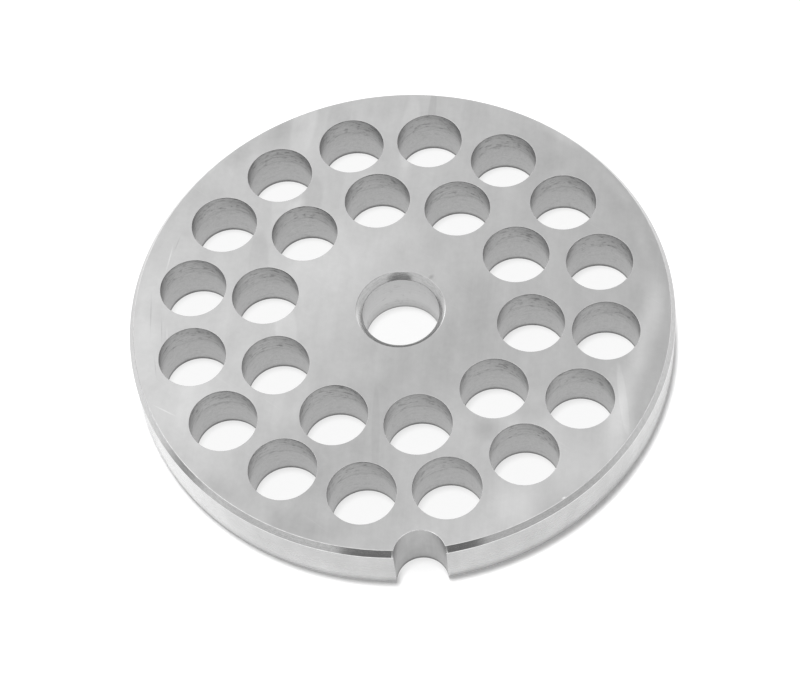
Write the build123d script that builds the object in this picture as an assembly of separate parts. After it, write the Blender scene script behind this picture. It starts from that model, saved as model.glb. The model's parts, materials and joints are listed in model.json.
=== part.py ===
from build123d import *
import os
from math import asin, pi

# A meat grinder plate: one steel disc, turned from bar, drilled right through, slotted
# at the rim and ground flat on both faces, so that either face can meet the knife.
# Millimetres, +Z up. The origin is on the bore's axis, in the underside, and the
# keyway is at -Y.

# The disc. Both faces and both rim edges are alike. The rim's chamfers are steeper than
# 45 degrees, which eases the plate into the grinder's head.
plate_diameter = 82.0
plate_thickness = 8.8
rim_chamfer_width = 0.7
rim_chamfer_height = 1.0

# The bore that runs on the worm's stud.
bore_diameter = 11.6
bore_chamfer = 0.9

# The drilled holes lie in rows, counted from the rim inwards. The rim land is the wall
# left outside the first row, the row web the wall between rows, and the hole web the
# least wall between neighbours in a row. Each row starts at an angle of its own, in
# degrees from +X.
hole_diameter = 10.1
rim_land = 4.55
row_web = 1.1
hole_web = 1.6
row_start_angles = (9.5, 23.0)

# The drilled rows share a centre that lies a little off the bore's axis.
rows_centre_x = -0.5
rows_centre_y = 0.06

# The keyway: a half-round slot centred on the rim's edge.
keyway_diameter = 7.5


def turned_disc():
    """The disc with its bore and all four chamfers, turned about the bore's axis."""
    rim_radius = plate_diameter / 2
    bore_radius = bore_diameter / 2
    section = Polyline(
        (bore_radius + bore_chamfer, 0),
        (rim_radius - rim_chamfer_width, 0),
        (rim_radius, rim_chamfer_height),
        (rim_radius, plate_thickness - rim_chamfer_height),
        (rim_radius - rim_chamfer_width, plate_thickness),
        (bore_radius + bore_chamfer, plate_thickness),
        (bore_radius, plate_thickness - bore_chamfer),
        (bore_radius, bore_chamfer),
        close=True,
    )
    return revolve(Plane.XZ * make_face(section), Axis.Z)


def holes_in_row(row_radius):
    """How many holes a row takes with at least the hole web between neighbours."""
    half_pitch_angle = asin((hole_diameter + hole_web) / (2 * row_radius))
    return int(pi / half_pitch_angle)


def drilled_holes():
    """The through holes of every row that leaves a row web around the bore's chamfer."""
    drill = Cylinder(
        hole_diameter / 2,
        plate_thickness,
        align=(Align.CENTER, Align.CENTER, Align.MIN),
    )
    least_row_radius = bore_diameter / 2 + bore_chamfer + row_web + hole_diameter / 2
    row_radius = plate_diameter / 2 - rim_land - hole_diameter / 2
    holes = []
    for start_angle in row_start_angles:
        if row_radius < least_row_radius:
            break
        count = holes_in_row(row_radius)
        places = PolarLocations(row_radius, count, start_angle=start_angle)
        holes += [place * drill for place in places]
        row_radius -= hole_diameter + row_web
    return [Pos(rows_centre_x, rows_centre_y, 0) * hole for hole in holes]


def keyway():
    """The cutter for the half-round slot, as deep as its own radius."""
    cutter = Cylinder(
        keyway_diameter / 2,
        plate_thickness,
        align=(Align.CENTER, Align.CENTER, Align.MIN),
    )
    return Pos(0, -plate_diameter / 2, 0) * cutter


grinder_plate = turned_disc() - drilled_holes() - keyway()

os.makedirs("parts", exist_ok=True)
export_step(grinder_plate, "parts/grinder_plate.step")
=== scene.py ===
import json
import math
import bmesh
import bpy
from mathutils import Matrix, Vector


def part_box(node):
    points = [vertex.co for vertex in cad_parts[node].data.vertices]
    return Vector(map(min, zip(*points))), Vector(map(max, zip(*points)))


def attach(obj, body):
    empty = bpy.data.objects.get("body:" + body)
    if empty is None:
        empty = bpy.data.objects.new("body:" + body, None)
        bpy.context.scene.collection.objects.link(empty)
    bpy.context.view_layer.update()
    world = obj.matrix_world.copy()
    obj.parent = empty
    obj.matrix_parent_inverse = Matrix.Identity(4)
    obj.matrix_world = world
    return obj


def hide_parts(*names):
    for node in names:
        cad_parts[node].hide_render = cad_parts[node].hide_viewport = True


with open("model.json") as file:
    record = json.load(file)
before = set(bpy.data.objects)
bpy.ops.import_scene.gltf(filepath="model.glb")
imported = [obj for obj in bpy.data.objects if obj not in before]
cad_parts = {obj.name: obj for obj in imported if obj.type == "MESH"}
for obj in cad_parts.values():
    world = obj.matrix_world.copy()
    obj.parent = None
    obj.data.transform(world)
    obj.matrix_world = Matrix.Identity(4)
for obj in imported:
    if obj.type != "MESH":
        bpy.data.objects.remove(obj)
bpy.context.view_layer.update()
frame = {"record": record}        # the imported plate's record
record = frame["record"]


# The blank: a disc turned from steel bar, bored and chamfered on all four edges, with a
# light break on every corner. Grinding has taken more off the underside, so its chamfers
# are smaller. Shaped in millimetres about the bore's axis, the underside at height 0.
metres_to_mm = 1000.0
dims = {mount["name"]: mount["dims"] for mount in record["mounts"]}
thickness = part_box("grinder_plate")[1].z * metres_to_mm
rim_radius = dims["rim"]["r_mm"]
rim_chamfer_height = (thickness - dims["rim"]["length_mm"]) / 2
rim_chamfer_width = 0.7
bore_radius = dims["bore"]["r_mm"]
bore_chamfer = (thickness - dims["bore"]["length_mm"]) / 2
ground_away = 0.55
rim_foot_height = rim_chamfer_height - ground_away
rim_foot_width = rim_chamfer_width * rim_foot_height / rim_chamfer_height
bore_foot = bore_chamfer - ground_away
turned_corner_break = 0.06
corner_segments = 3
blank_steps = 256
merge_distance = 0.0005
right_through = 1000.0
# the height below which the painted shade at a wall's foot is full
painted_foot_shade_height = 0.3


def spun(bm, parts, steps):
    """Spins wire edges a full turn about the Z axis and closes the seam."""
    bmesh.ops.spin(
        bm,
        geom=parts,
        cent=(0, 0, 0),
        axis=(0, 0, 1),
        dvec=(0, 0, 0),
        angle=2 * math.pi,
        steps=steps,
        use_merge=True,
        use_duplicate=False,
    )
    bmesh.ops.remove_doubles(bm, verts=bm.verts[:], dist=merge_distance)
    bmesh.ops.recalc_face_normals(bm, faces=bm.faces[:])


def as_mesh(name, bm):
    """Turns a finished bmesh into a mesh and frees it."""
    mesh = bpy.data.meshes.new(name)
    bm.to_mesh(mesh)
    bm.free()
    return mesh


def placed(name, data):
    """Puts a mesh, lamp or camera into the scene as an object of its own."""
    made = bpy.data.objects.new(name, data)
    bpy.context.scene.collection.objects.link(made)
    return made


def rounded_outline(points, corners, corner_break):
    """A closed outline of edges through (radius, height) points, some corners rounded."""
    bm = bmesh.new()
    verts = [bm.verts.new((radius, 0, height)) for radius, height in points]
    bm.faces.new(verts)
    bmesh.ops.bevel(
        bm,
        geom=[verts[corner] for corner in corners],
        offset=corner_break,
        offset_type="OFFSET",
        segments=corner_segments,
        profile=0.5,
        affect="VERTICES",
        material=-1,
    )
    bmesh.ops.delete(bm, geom=bm.faces[:], context="FACES_ONLY")
    return bm


def turned_blank():
    """The bored and chamfered disc, before it is drilled."""
    section = [
        (bore_radius + bore_foot, 0),
        (rim_radius - rim_foot_width, 0),
        (rim_radius, rim_foot_height),
        (rim_radius, thickness - rim_chamfer_height),
        (rim_radius - rim_chamfer_width, thickness),
        (bore_radius + bore_chamfer, thickness),
        (bore_radius, thickness - bore_chamfer),
        (bore_radius, bore_foot),
    ]
    bm = rounded_outline(section, range(len(section)), turned_corner_break)
    spun(bm, bm.verts[:] + bm.edges[:], blank_steps)
    return as_mesh("blank", bm)


def bare_steel(name):
    """A bare steel material, its node tree and Object coordinates in millimetres."""
    material = bpy.data.materials.new(name)
    material.use_nodes = True
    tree = material.node_tree
    tree.nodes["Principled BSDF"].inputs["Metallic"].default_value = 1.0
    place = tree.nodes.new("ShaderNodeTexCoord")
    scaled = tree.nodes.new("ShaderNodeVectorMath")
    scaled.operation = "SCALE"
    scaled.inputs["Scale"].default_value = metres_to_mm
    tree.links.new(place.outputs["Object"], scaled.inputs[0])
    return material, tree, scaled.outputs[0]


def feed(tree, socket, value):
    """Sets a socket to a number, or links another socket to it."""
    if isinstance(value, (int, float)):
        socket.default_value = value
    else:
        tree.links.new(value, socket)


def calculated(tree, operation, *values):
    """A math node fed by sockets or plain numbers."""
    made = tree.nodes.new("ShaderNodeMath")
    made.operation = operation
    for socket, value in zip(made.inputs, values):
        feed(tree, socket, value)
    return made.outputs[0]


def total(tree, values):
    """The sum of several sockets or numbers."""
    result = values[0]
    for value in values[1:]:
        result = calculated(tree, "ADD", result, value)
    return result


def mapped(tree, value, start, end, low, high, ease="LINEAR"):
    """A value between start and end, clamped and spread from low to high."""
    made = tree.nodes.new("ShaderNodeMapRange")
    made.interpolation_type = ease
    made.inputs["From Min"].default_value = start
    made.inputs["From Max"].default_value = end
    made.inputs["To Min"].default_value = low
    made.inputs["To Max"].default_value = high
    tree.links.new(value, made.inputs["Value"])
    return made.outputs["Result"]


def local_to(tree, coords, size, centre=(0, 0, 0), turn=0.0):
    """Coordinates about a centre, turned by degrees about Z and counted in feature sizes."""
    made = tree.nodes.new("ShaderNodeMapping")
    made.vector_type = "TEXTURE"
    made.inputs["Location"].default_value = centre
    made.inputs["Rotation"].default_value = (0, 0, math.radians(turn))
    made.inputs["Scale"].default_value = size
    tree.links.new(coords, made.inputs["Vector"])
    return made.outputs["Vector"]


def noise(tree, coords, low, high, detail=2.0, cut=(0.3, 0.7)):
    """Smooth noise with features about one unit across, spread from low to high."""
    made = tree.nodes.new("ShaderNodeTexNoise")
    made.inputs["Scale"].default_value = 1.0
    made.inputs["Detail"].default_value = detail
    tree.links.new(coords, made.inputs["Vector"])
    return mapped(tree, made.outputs[0], *cut, low, high)


def part_of(tree, coords, axis):
    """One axis of some coordinates; Z is the height above the underside."""
    split = tree.nodes.new("ShaderNodeSeparateXYZ")
    tree.links.new(coords, split.inputs[0])
    return split.outputs[axis]


def painted_foot_shade(tree, height, end, amount):
    """Painted shade at the foot of a wall, fading out at a given height."""
    return mapped(tree, height, painted_foot_shade_height, end, amount, 0)


def soft_patch(tree, coords, centre, turn, half_size, amount, fade=1.0):
    """An oval patch of another tone, right through the plate. It fades out over a share
    of its half size."""
    oval = local_to(tree, coords, (*half_size, right_through), (*centre, 0), turn)
    ball = tree.nodes.new("ShaderNodeTexGradient")
    ball.gradient_type = "SPHERICAL"
    tree.links.new(oval, ball.inputs["Vector"])
    return mapped(tree, ball.outputs["Fac"], 0, fade, 0, amount, "SMOOTHSTEP")


def surfaced(tree, tones, roughnesses, relief, relief_mm):
    """Feeds the summed tones and roughnesses and a relief to the steel's shader."""
    shader = tree.nodes["Principled BSDF"]
    feed(tree, shader.inputs["Base Color"], total(tree, tones))
    feed(tree, shader.inputs["Roughness"], total(tree, roughnesses))
    bump = tree.nodes.new("ShaderNodeBump")
    bump.inputs["Distance"].default_value = relief_mm / metres_to_mm
    tree.links.new(relief, bump.inputs["Height"])
    tree.links.new(bump.outputs["Normal"], shader.inputs["Normal"])


def across_the_rings(tree, spread):
    """Stretches the shine across the lathe's rings, as turned steel does."""
    shader = tree.nodes["Principled BSDF"]
    shader.inputs["Anisotropic"].default_value = spread
    shader.inputs["Anisotropic Rotation"].default_value = 0.25
    tangent = tree.nodes.new("ShaderNodeTangent")
    tangent.direction_type = "RADIAL"
    tangent.axis = "Z"
    tree.links.new(tangent.outputs[0], shader.inputs["Tangent"])


def turned_steel():
    """The rim's finish: fine rings, with painted light brighter towards the foot, on the left and
    low on the right.
    """
    material, tree, coords = bare_steel("turned_steel")
    rings = local_to(tree, coords, (30.0, 30.0, 0.16))
    clouds = local_to(tree, coords, (2.6, 2.6, 6.0))
    height = part_of(tree, coords, "Z")
    painted_light_low_right = soft_patch(tree, coords, (36, -20), 0, (14, 14), 0.17)
    tones = [
        0.475,
        noise(tree, rings, -0.004, 0.004),
        noise(tree, clouds, -0.03, 0.03, 5.0),
        # painted light: brighter towards the foot, on the left and low on the right, and less of it
        # on the far left
        mapped(tree, height, 0.3, 3.6, 0.1, 0),
        soft_patch(tree, coords, (-34, -22), 0, (18, 18), 0.12),
        soft_patch(tree, coords, (-41, -5), 0, (9, 9), -0.1),
        calculated(tree, "MULTIPLY", painted_light_low_right, mapped(tree, height, 1.5, 4.2, 1, 0)),
    ]
    roughnesses = [0.28, noise(tree, rings, -0.02, 0.02)]
    surfaced(tree, tones, roughnesses, noise(tree, rings, 0, 1), 0.0005)
    return material


def chamfer_steel():
    """The finish of the turned chamfers, smoother than the rim, with painted reflections of the
    room.
    """
    material, tree, coords = bare_steel("chamfer_steel")
    rings = local_to(tree, coords, (30.0, 30.0, 0.1))
    specks = local_to(tree, coords, (0.5, 0.5, 0.3))
    tones = [
        0.46,
        noise(tree, rings, -0.02, 0.02),
        noise(tree, specks, -0.04, 0.04, 4.0),
        # painted reflections: brighter on the left, a dark patch at the front left, a little
        # brighter on the right
        soft_patch(tree, coords, (-42, -10), 0, (16, 18), 0.1),
        soft_patch(tree, coords, (-33.0, -23.6), -55, (7, 3), -0.2),
        soft_patch(tree, coords, (41, -4), 0, (14, 20), 0.03),
    ]
    roughnesses = [0.12, noise(tree, rings, -0.02, 0.02)]
    surfaced(tree, tones, roughnesses, noise(tree, rings, 0, 1), 0.001)
    across_the_rings(tree, 0.5)
    return material


def countersunk_steel():
    """The finish of the bore's chamfers, cut with a countersink after the turning, with painted
    reflections of the room.
    """
    material, tree, coords = bare_steel("countersunk_steel")
    chatter = local_to(tree, coords, (0.8, 0.8, 0.15))
    tones = [
        0.49,
        noise(tree, chatter, -0.05, 0.05, 3.0),
        # painted reflections: bright on either side, lighter at the back and darker at the front
        soft_patch(tree, coords, (-6.3, -1.8), 0, (4, 4), 0.38),
        soft_patch(tree, coords, (6.4, -2.2), 0, (4, 4), 0.44),
        soft_patch(tree, coords, (0, 7), 0, (3, 2), 0.14),
        soft_patch(tree, coords, (0, -6.4), 0, (6, 4), -0.23),
    ]
    roughnesses = [0.22, noise(tree, chatter, -0.04, 0.04)]
    surfaced(tree, tones, roughnesses, noise(tree, chatter, 0, 1), 0.003)
    across_the_rings(tree, 0.5)
    return material


def edge_steel():
    """The finish of the broken corners: a painted highlight along the edges, with a painted glint
    by the keyway.
    """
    material, tree, coords = bare_steel("edge_steel")
    specks = local_to(tree, coords, (1.0, 1.0, 1.0))
    tones = [
        # a light tone all over: the painted highlight of the edges
        0.74,
        noise(tree, specks, -0.1, 0.1, 3.0),
        # a painted glint on the keyway's edge, and less painted highlight on the far left
        soft_patch(tree, coords, (2.28, -37.78), 0, (0.5, 0.5), 0.3),
        soft_patch(tree, coords, (-41, -6), 0, (16, 16), -0.25),
    ]
    surfaced(tree, tones, [0.2], noise(tree, specks, 0, 1), 0.002)
    return material


def reamed_steel():
    """The bore's finish: reamed to size, with faint rings and a few dull spots, darker towards the
    bottom and with painted shade at its foot.
    """
    material, tree, coords = bare_steel("reamed_steel")
    rings = local_to(tree, coords, (9.0, 9.0, 0.3))
    spots = local_to(tree, coords, (0.9, 0.9, 0.5))
    height = part_of(tree, coords, "Z")
    tones = [
        0.61,
        noise(tree, rings, -0.03, 0.03),
        noise(tree, spots, 0, -0.1, 2.0, (0.6, 0.75)),
        # darker towards the bottom, then painted shade at the foot
        mapped(tree, height, 0.5, 3.0, -0.14, 0),
        mapped(tree, height, 0.5, 0.8, -0.2, 0),
    ]
    roughnesses = [0.4, noise(tree, rings, -0.04, 0.04)]
    surfaced(tree, tones, roughnesses, noise(tree, rings, 0, 1), 0.006)
    across_the_rings(tree, 0.6)
    return material


# The drilled holes go right through, in two rows that share a centre of their own. The
# twist drill leaves coarse rings, a faint step and torn spots in the upper part of each
# wall, and the edges are broken lightly at both faces.
hole_radius = 5.05
hole_edge_break = 0.04
drill_steps = 96
drill_overrun = 1.0
drill_mark_height = 5.6
drill_mark_wander = 0.7
drill_mark_width = 0.22
hole_centres = []
for opening in record["physics"]["openings"]:
    corners = [Vector(corner) * metres_to_mm for corner in opening["box_m"]]
    if "hole" in opening["name"]:
        hole_centres.append(((corners[0] + corners[1]) / 2).to_2d())


def drill(radius, edge_break):
    """A cutter about the Z axis that leaves a round passage with its edges rounded over."""
    flared = radius + edge_break
    profile = [
        (0, -drill_overrun),
        (flared, -drill_overrun),
        (flared, 0),
        (radius, 0),
        (radius, thickness),
        (flared, thickness),
        (flared, thickness + drill_overrun),
        (0, thickness + drill_overrun),
    ]
    bm = rounded_outline(profile, (3, 4), edge_break)
    axis = [edge for edge in bm.edges if all(vert.co.x == 0 for vert in edge.verts)]
    bmesh.ops.delete(bm, geom=axis, context="EDGES")
    spun(bm, bm.verts[:] + bm.edges[:], drill_steps)
    return as_mesh("drill", bm)


def drilled_steel():
    """The holes' finish: dull, ringed by the drill, with torn spots, painted shade on the upper
    walls to left and right and at the foot, and a painted dark reflection just under the top edge.
    """
    material, tree, coords = bare_steel("drilled_steel")
    rings = local_to(tree, coords, (5.0, 5.0, 0.13))
    clouds = local_to(tree, coords, (0.9, 0.9, 0.6))
    grit = local_to(tree, coords, (0.25, 0.25, 0.2))
    tears = local_to(tree, coords, (1.0, 1.0, 0.4), (3, 1, 2))
    slow_turns = local_to(tree, coords, (7.0, 7.0, 30.0))
    height = part_of(tree, coords, "Z")
    facing = part_of(tree, tree.nodes.new("ShaderNodeTexCoord").outputs["Normal"], "X")
    # painted shade on the upper walls, by which way each part of the wall faces
    right_side_shade = mapped(tree, facing, -1.0, 0.2, -0.16, 0)
    left_side_shade = mapped(tree, facing, 0.6, 1.0, 0, -0.14)
    painted_side_shade = calculated(tree, "ADD", right_side_shade, left_side_shade)
    upper_part = mapped(tree, height, 4.6, 6.0, 0.25, 1.0)
    wander = noise(tree, slow_turns, -drill_mark_wander, drill_mark_wander)
    wandering_height = calculated(tree, "ADD", height, wander)
    above_mark = calculated(tree, "SUBTRACT", wandering_height, drill_mark_height)
    off_mark = calculated(tree, "ABSOLUTE", above_mark)
    tones = [
        0.455,
        noise(tree, clouds, -0.03, 0.03, 5.0),
        noise(tree, grit, -0.03, 0.03),
        calculated(tree, "MULTIPLY", noise(tree, rings, -0.05, 0.05, 2.0), upper_part),
        calculated(tree, "MULTIPLY", noise(tree, tears, 0, -0.16, 3.0, (0.54, 0.68)), upper_part),
        mapped(tree, off_mark, 0, drill_mark_width, -0.06, 0),
        calculated(tree, "MULTIPLY", painted_side_shade, mapped(tree, height, 4.5, 7.5, 0, 1)),
        # painted shade at the foot
        painted_foot_shade(tree, height, 0.7, -0.25),
        # a painted dark reflection just under the top edge
        mapped(tree, height, thickness - 1.2, thickness - 0.1, 0, -0.04),
        mapped(tree, height, thickness - 0.35, thickness - 0.1, 0, -0.12),
    ]
    roughnesses = [0.4, noise(tree, clouds, -0.05, 0.05)]
    surfaced(tree, tones, roughnesses, noise(tree, rings, 0, 1, 2.0), 0.004)
    return material


# The keyway is a half-round slot milled through the rim's edge, where the key in the
# grinder's head stops the plate from turning. Its edges are broken like the holes'.
keyway_radius = dims["keyway"]["r_mm"]
keyway_edge_break = 0.08
keyway_centre = Vector((0, -rim_radius))


def milled_steel():
    """The keyway's finish: faint upright marks of the cutter's teeth, with painted shade in its
    upper corners and at its foot.
    """
    material, tree, coords = bare_steel("milled_steel")
    marks = local_to(tree, coords, (0.5, 0.5, 6.0))
    clouds = local_to(tree, coords, (1.5, 1.5, 1.5))
    height = part_of(tree, coords, "Z")
    # painted shade in the upper corners where the keyway meets the rim
    left_side_shade = soft_patch(tree, coords, (-keyway_radius, -40.2), 0, (1.8, 2.5), -0.09)
    right_side_shade = soft_patch(tree, coords, (keyway_radius, -40.2), 0, (1.8, 2.5), -0.09)
    painted_side_shade = calculated(tree, "ADD", left_side_shade, right_side_shade)
    tones = [
        0.39,
        noise(tree, marks, -0.015, 0.015),
        noise(tree, clouds, -0.02, 0.02, 4.0),
        calculated(tree, "MULTIPLY", painted_side_shade, mapped(tree, height, 3.5, 8.0, 0, 1)),
        painted_foot_shade(tree, height, 0.8, -0.2),
    ]
    surfaced(tree, tones, [0.35], noise(tree, marks, 0, 1), 0.004)
    return material


# Both faces are ground flat. The wheel leaves a fine grain that leans a little off the
# line from keyway to far rim, broad bands where its passes overlap, and a cloudy sheen.
# Use has left scratches near the left edge, a small stain by the bore and a nick in front.
grain_turn = -10.0
stray_turn = 48.0
crisp_edge = 0.3
# Patches of tone, partly the grinding's cloudy finish and partly painted reflection: the broad ones
# paint the room's light, lighter on the left and at the lower right.
cloudy_and_painted_reflection_patches = [
    # centre, turn, half size and change of tone; first the broad ones
    ((-32, -13), 20, (7, 12), 0.08),
    ((-30, 22), 30, (14, 18), -0.05),
    ((-10, 9), 35, (19, 12), 0.07),
    ((2, -10), 30, (26, 16), -0.07),
    ((-14, -28), 0, (22, 20), -0.09),
    ((22, -28), -40, (24, 10), 0.13),
    ((9, -38), -15, (11, 9), 0.08),
    # along the right edge
    ((35, -10), -20, (2.6, 15), 0.14),
    ((30.2, -21.5), -10, (3.2, 10.5), 0.24),
    ((38, -3), 0, (2.5, 9), 0.07),
    ((36.2, -19.5), -28, (1.3, 9), -0.22),
    ((37, 14), 10, (9, 16), -0.03),
    ((37.3, 8), 12, (1.5, 6), 0.05),
    ((34.5, 18.5), 28, (1.5, 6), 0.06),
    ((24, 27), -10, (5, 8), -0.04),
    ((27, 29.5), -43, (6, 1.5), 0.1),
    # elsewhere between the holes and along the edge
    ((26, 24.5), 0, (3, 3), -0.05),
    ((2.5, 27), -12, (1.8, 7), 0.06),
    ((-14.8, 20.6), 40, (2.5, 1.5), 0.12),
    ((-18, 34.5), 28, (8, 4), -0.1),
    ((-17, -35), -25, (8, 4), -0.08),
    ((14.5, -34), 0, (5, 6), 0.15),
    ((11.5, -22), 0, (3, 3), -0.12),
    ((12, -1), 0, (5, 9), -0.05),
    ((-18.5, -15.5), 0, (4, 4), 0.07),
    ((-28, -28), -45, (7, 3), -0.09),
    ((18, -20), 0, (4, 3), -0.06),
    ((-4, -14), 0, (2.5, 4), -0.05),
    ((-38.5, 0.5), 0, (3, 5), 0.07),
    ((-24, 31), 38, (5, 3), -0.06),
]
ground_facets = [
    ((-17, 22), -8, (1.8, 7.5), 0.035, crisp_edge),
    ((-12.5, 21), -12, (1.9, 5.5), -0.05, crisp_edge),
    ((-21, 11), -5, (1.8, 6), -0.04, crisp_edge),
    ((-17.3, -1.5), 4, (1.9, 6), 0.05, crisp_edge),
    ((-13, 36), -12, (2.2, 8), 0.04, crisp_edge),
    ((-7.5, 36), -12, (2.0, 8), -0.035, crisp_edge),
    ((3.6, 33), -10, (1.7, 8), 0.045, crisp_edge),
    ((7.4, 36.5), -10, (0.7, 5), -0.06, crisp_edge),
    ((-5.0, -21), -4, (0.7, 9), -0.03, crisp_edge),
    ((31.2, -19), 0, (0.7, 7), 0.06, crisp_edge),
]
wear = [
    # the scratches
    ((-35.7, -14.0), -34, (2.8, 0.16), 0.12),
    ((-37.6, 3.0), -2, (0.16, 5.0), -0.1),
    ((-36.0, 0.0), 0, (0.14, 3.0), -0.1),
    ((-35.2, -1.0), 0, (0.14, 2.0), 0.1),
    ((-34.6, 13.0), -14, (0.16, 3.5), 0.12),
    ((-37.0, -6.5), 4, (0.14, 2.5), -0.1),
    ((-33.4, 15.5), -20, (0.14, 2.0), -0.1),
    # the stain and the nick
    ((5.0, 5.2), 45, (0.8, 0.5), -0.14),
    ((21.05, -34.2), 20, (0.45, 0.25), 0.4),
]


def ground_steel():
    """The faces' finish: grain, bands and clouds along the wheel's way, and patches that are partly
    cloudy tone and partly painted reflection.
    """
    material, tree, coords = bare_steel("ground_steel")
    grain = local_to(tree, coords, (0.22, 14.0, right_through), (0, 0, 0), grain_turn)
    bands = local_to(tree, coords, (2.2, 50.0, right_through), (3, 0, 0), grain_turn)
    clouds = local_to(tree, coords, (4.0, 6.0, right_through), (9, 2, 0), grain_turn)
    mottle = local_to(tree, coords, (0.9, 0.9, right_through), (1, 5, 0))
    stray = local_to(tree, coords, (0.16, 9.0, right_through), (0, 0, 0), stray_turn)
    tones = [
        0.57,
        noise(tree, grain, -0.005, 0.005, 3.0),
        noise(tree, bands, -0.012, 0.012),
        noise(tree, clouds, -0.03, 0.03, 5.0),
        noise(tree, mottle, -0.012, 0.012, 3.0),
        noise(tree, stray, 0, 0.04, 1.0, (0.68, 0.8)),
    ]
    for patch in cloudy_and_painted_reflection_patches + ground_facets + wear:
        tones.append(soft_patch(tree, coords, *patch))
    roughnesses = [0.3, noise(tree, grain, -0.02, 0.02)]
    surfaced(tree, tones, roughnesses, noise(tree, grain, 0, 1, 3.0), 0.0007)
    return material


# The finished plate is the blank with every hole and the keyway cut out of it, in one piece of
# steel. Each surface gets the finish that its own operation leaves, with painted light and shade in
# several of them.
finishes = {
    "ground": ground_steel(),
    "turned": turned_steel(),
    "chamfer": chamfer_steel(),
    "countersunk": countersunk_steel(),
    "edge": edge_steel(),
    "reamed": reamed_steel(),
    "drilled": drilled_steel(),
    "milled": milled_steel(),
}
finish_order = list(finishes)
rim_chamfer_tilt = rim_chamfer_width / math.hypot(rim_chamfer_width, rim_chamfer_height)


def cutters():
    """All the drills and the keyway cutter in one mesh."""
    hole_drill = drill(hole_radius, hole_edge_break)
    keyway_cutter = drill(keyway_radius, keyway_edge_break)
    cuts = [(hole_drill, centre) for centre in hole_centres] + [(keyway_cutter, keyway_centre)]
    bm = bmesh.new()
    for tool, centre in cuts:
        placed_before = len(bm.verts)
        bm.from_mesh(tool)
        bmesh.ops.translate(bm, vec=centre.to_3d(), verts=bm.verts[placed_before:])
    return as_mesh("cutters", bm)


def cut_plate():
    """The blank less the cutters."""
    blank = placed("blank", turned_blank())
    tools = placed("cutters", cutters())
    cut = blank.modifiers.new("cut", "BOOLEAN")
    cut.operation = "DIFFERENCE"
    cut.solver = "MANIFOLD"
    cut.object = tools
    depsgraph = bpy.context.evaluated_depsgraph_get()
    mesh = bpy.data.meshes.new_from_object(blank.evaluated_get(depsgraph), depsgraph=depsgraph)
    bpy.data.objects.remove(blank)
    bpy.data.objects.remove(tools)
    return mesh


def finish_of(face):
    """Which operation made this face, from where it lies and which way it points."""
    across = face.calc_center_median().to_2d()
    tilt = abs(face.normal.z)
    upright = tilt < 0.02
    on_rim_chamfer = abs(tilt - rim_chamfer_tilt) < 0.01
    if tilt > 0.9999:
        return "ground"
    if min((across - centre).length for centre in hole_centres) < hole_radius + 2 * hole_edge_break:
        return "drilled" if upright else "edge"
    if (across - keyway_centre).length < keyway_radius + keyway_edge_break:
        return "milled" if upright else "edge"
    if across.length < rim_radius / 2:
        return "reamed" if upright else "countersunk"
    if upright:
        return "turned"
    return "chamfer" if on_rim_chamfer else "edge"


def finished_plate():
    """The cut plate with a finish on each face, in metres."""
    bm = bmesh.new()
    bm.from_mesh(cut_plate())
    bmesh.ops.remove_doubles(bm, verts=bm.verts[:], dist=merge_distance)
    bm.normal_update()
    for face in bm.faces:
        face.material_index = finish_order.index(finish_of(face))
        face.smooth = True
    smooth_limit = math.radians(35)
    for edge in bm.edges:
        one, other = [face.material_index for face in edge.link_faces]
        edge.smooth = one == other and edge.calc_face_angle() < smooth_limit
    bmesh.ops.scale(bm, vec=(1 / metres_to_mm,) * 3, verts=bm.verts[:])
    mesh = as_mesh("plate", bm)
    for material in finishes.values():
        mesh.materials.append(material)
    return placed("plate", mesh)


plate = finished_plate()
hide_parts("grinder_plate")
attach(plate, "root")


# The stage: a white table under the plate, which glows where the plate lies as a painted light over
# the plate's shade, and a white room round it, with a soft lamp almost overhead. The room is dark
# low down on the camera's side.
white = (1, 1, 1, 1)
floor_size = 6.0
floor_tone_seen = 1.22
# the painted glow under the plate: where it starts to fade, where it ends, how bright it is and its
# share
glow_radius = 0.0385
glow_end = 0.0418
glow_level = 0.9
glow_share = 0.78


def rays_of(tree, *kinds):
    """1 for rays of the named kinds and 0 for all others."""
    path = tree.nodes.new("ShaderNodeLightPath")
    result = path.outputs[kinds[0]]
    for kind in kinds[1:]:
        result = calculated(tree, "MAXIMUM", result, path.outputs[kind])
    return result


def distance_of(tree, coords):
    """The distance from the origin."""
    away = tree.nodes.new("ShaderNodeVectorMath")
    away.operation = "LENGTH"
    tree.links.new(coords, away.inputs[0])
    return away.outputs["Value"]


def blended(tree, share, first, second):
    """Two shaders mixed: all of the first at a share of 0, all of the second at 1."""
    mix = tree.nodes.new("ShaderNodeMixShader")
    for socket, value in zip(mix.inputs, (share, first, second)):
        tree.links.new(value, socket)
    return mix.outputs[0]


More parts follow.
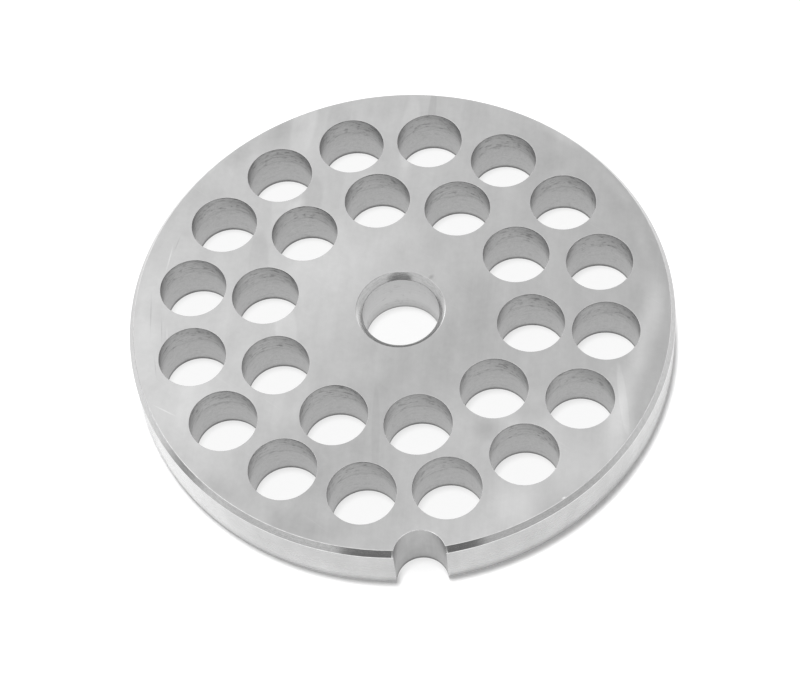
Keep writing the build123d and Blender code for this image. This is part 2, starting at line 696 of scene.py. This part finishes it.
def floor_white():
    """The table's finish: matt white that shows as plain white, and glows under the plate as a
    painted light over its shade.
    """
    material = bpy.data.materials.new("floor_white")
    material.use_nodes = True
    tree = material.node_tree
    tree.nodes.clear()
    seen = rays_of(tree, "Is Camera Ray", "Is Transmission Ray", "Is Glossy Ray")
    lit_from_above = tree.nodes.new("ShaderNodeBsdfDiffuse")
    feed(tree, lit_from_above.inputs["Color"], mapped(tree, seen, 0, 1, 1, floor_tone_seen))
    # a painted glow under the plate, which lifts the plate's shade off the floor seen through the
    # holes
    painted_glow_under_plate = tree.nodes.new("ShaderNodeEmission")
    painted_glow_under_plate.inputs["Color"].default_value = white
    painted_glow_under_plate.inputs["Strength"].default_value = glow_level
    away = distance_of(tree, tree.nodes.new("ShaderNodeTexCoord").outputs["Object"])
    glow = mapped(tree, away, glow_radius, glow_end, glow_share, 0, "SMOOTHSTEP")
    both = blended(tree, glow, lit_from_above.outputs[0], painted_glow_under_plate.outputs[0])
    floor_output = tree.nodes.new("ShaderNodeOutputMaterial")
    tree.links.new(both, floor_output.inputs["Surface"])
    return material


bm = bmesh.new()
bmesh.ops.create_grid(bm, x_segments=1, y_segments=1, size=floor_size / 2)
floor = placed("floor", as_mesh("floor", bm))
floor.data.materials.append(floor_white())

lamp_data = bpy.data.lights.new("overhead_lamp", "AREA")
lamp_data.shape = "DISK"
lamp_data.size = 0.22
lamp_data.energy = 16.0
lamp_lean = math.radians(3.2)
lamp_azimuth = math.radians(130)
lamp_reach = 1.5
lamp = placed("overhead_lamp", lamp_data)
lamp.rotation_euler = (0, lamp_lean, lamp_azimuth)
lamp.location = (
    lamp_reach * math.sin(lamp_lean) * math.cos(lamp_azimuth),
    lamp_reach * math.sin(lamp_lean) * math.sin(lamp_azimuth),
    lamp_reach * math.cos(lamp_lean),
)
lamp.visible_glossy = False

room_light = 0.25
room_patches = [
    # azimuth, elevation, half width, half height, where the fade starts, and the level
    (-4.0, 20.0, 28.0, 25.0, 0.92, 0.3),
    (40.0, 8.0, 50.0, 28.0, 0.3, 0.85),
    (-145.0, 58.0, 34.0, 34.0, 0.5, 1.4),
    (145.0, 58.0, 34.0, 34.0, 0.5, 0.6),
]


def sky_patch(tree, direction, azimuth, elevation, half_width, half_height, soft_from, level):
    """The room's brightness: level inside an oval of the sky and 1 outside it.
    Azimuth 0 is the camera's side and 90 is on the right, in degrees."""
    sideways = Matrix.Rotation(math.radians(azimuth), 3, "Z")
    upwards = Matrix.Rotation(-math.radians(elevation), 3, "X")
    turned = tree.nodes.new("ShaderNodeMapping")
    turned.vector_type = "TEXTURE"
    turned.inputs["Rotation"].default_value = (sideways @ upwards).to_euler()
    turned.inputs["Scale"].default_value = (
        math.sin(math.radians(half_width)),
        1,
        math.sin(math.radians(half_height)),
    )
    tree.links.new(direction, turned.inputs["Vector"])
    flat = tree.nodes.new("ShaderNodeVectorMath")
    flat.operation = "MULTIPLY"
    flat.inputs[1].default_value = (1, 0, 1)
    tree.links.new(turned.outputs["Vector"], flat.inputs[0])
    inside = mapped(tree, distance_of(tree, flat.outputs[0]), soft_from, 1, 1, 0, "SMOOTHSTEP")
    in_front = calculated(tree, "LESS_THAN", part_of(tree, turned.outputs["Vector"], "Y"), 0.0)
    share = calculated(tree, "MULTIPLY", inside, in_front)
    return calculated(tree, "MULTIPLY_ADD", share, level - 1, 1.0)


def background(tree, strength):
    """A white background of a given strength."""
    made = tree.nodes.new("ShaderNodeBackground")
    made.inputs["Color"].default_value = white
    feed(tree, made.inputs["Strength"], strength)
    return made.outputs[0]


def white_room():
    """The room: white to the eye, dimmer as a light, and patchy where steel mirrors it."""
    world = bpy.data.worlds.new("white_room")
    world.use_nodes = True
    world.cycles.sampling_method = "NONE"
    tree = world.node_tree
    tree.nodes.clear()
    direction = tree.nodes.new("ShaderNodeTexCoord").outputs["Generated"]
    mirrored = 1.0
    for patch in room_patches:
        mirrored = calculated(tree, "MULTIPLY", mirrored, sky_patch(tree, direction, *patch))
    seen = rays_of(tree, "Is Camera Ray", "Is Transmission Ray")
    seen_or_light = blended(tree, seen, background(tree, room_light), background(tree, 1.0))
    gloss = rays_of(tree, "Is Glossy Ray")
    world_output = tree.nodes.new("ShaderNodeOutputWorld")
    with_gloss = blended(tree, gloss, seen_or_light, background(tree, mirrored))
    tree.links.new(with_gloss, world_output.inputs["Surface"])
    return world


bpy.context.scene.world = white_room()


# The camera looks down on the plate from in front, a little from the right of the
# keyway, and is rolled by a few degrees.
photo_width = 800
focal_pixels = 2346.126
sensor_width = 36.0
camera_distance = 0.359137
camera_elevation = math.radians(57.9416)
camera_azimuth = math.radians(2.2681)
camera_roll = math.radians(-7.0675)
aim_right = -0.0005809
aim_ahead = 0.0006826

camera_data = bpy.data.cameras.new("camera")
camera_data.sensor_width = sensor_width
camera_data.lens = focal_pixels * sensor_width / photo_width
camera_data.clip_start = 0.01
camera = placed("camera", camera_data)
right = Vector((math.cos(camera_azimuth), math.sin(camera_azimuth), 0))
ahead = Vector((-math.sin(camera_azimuth), math.cos(camera_azimuth), 0))
back = Vector((0, 0, 1)) * math.sin(camera_elevation) - ahead * math.cos(camera_elevation)
camera.matrix_world = (
    Matrix.Translation(right * aim_right + ahead * aim_ahead + back * camera_distance)
    @ Matrix.Rotation(camera_azimuth, 4, "Z")
    @ Matrix.Rotation(math.pi / 2 - camera_elevation, 4, "X")
    @ Matrix.Rotation(camera_roll, 4, "Z")
)
bpy.context.scene.camera = camera
bpy.context.scene.view_settings.view_transform = "Standard"
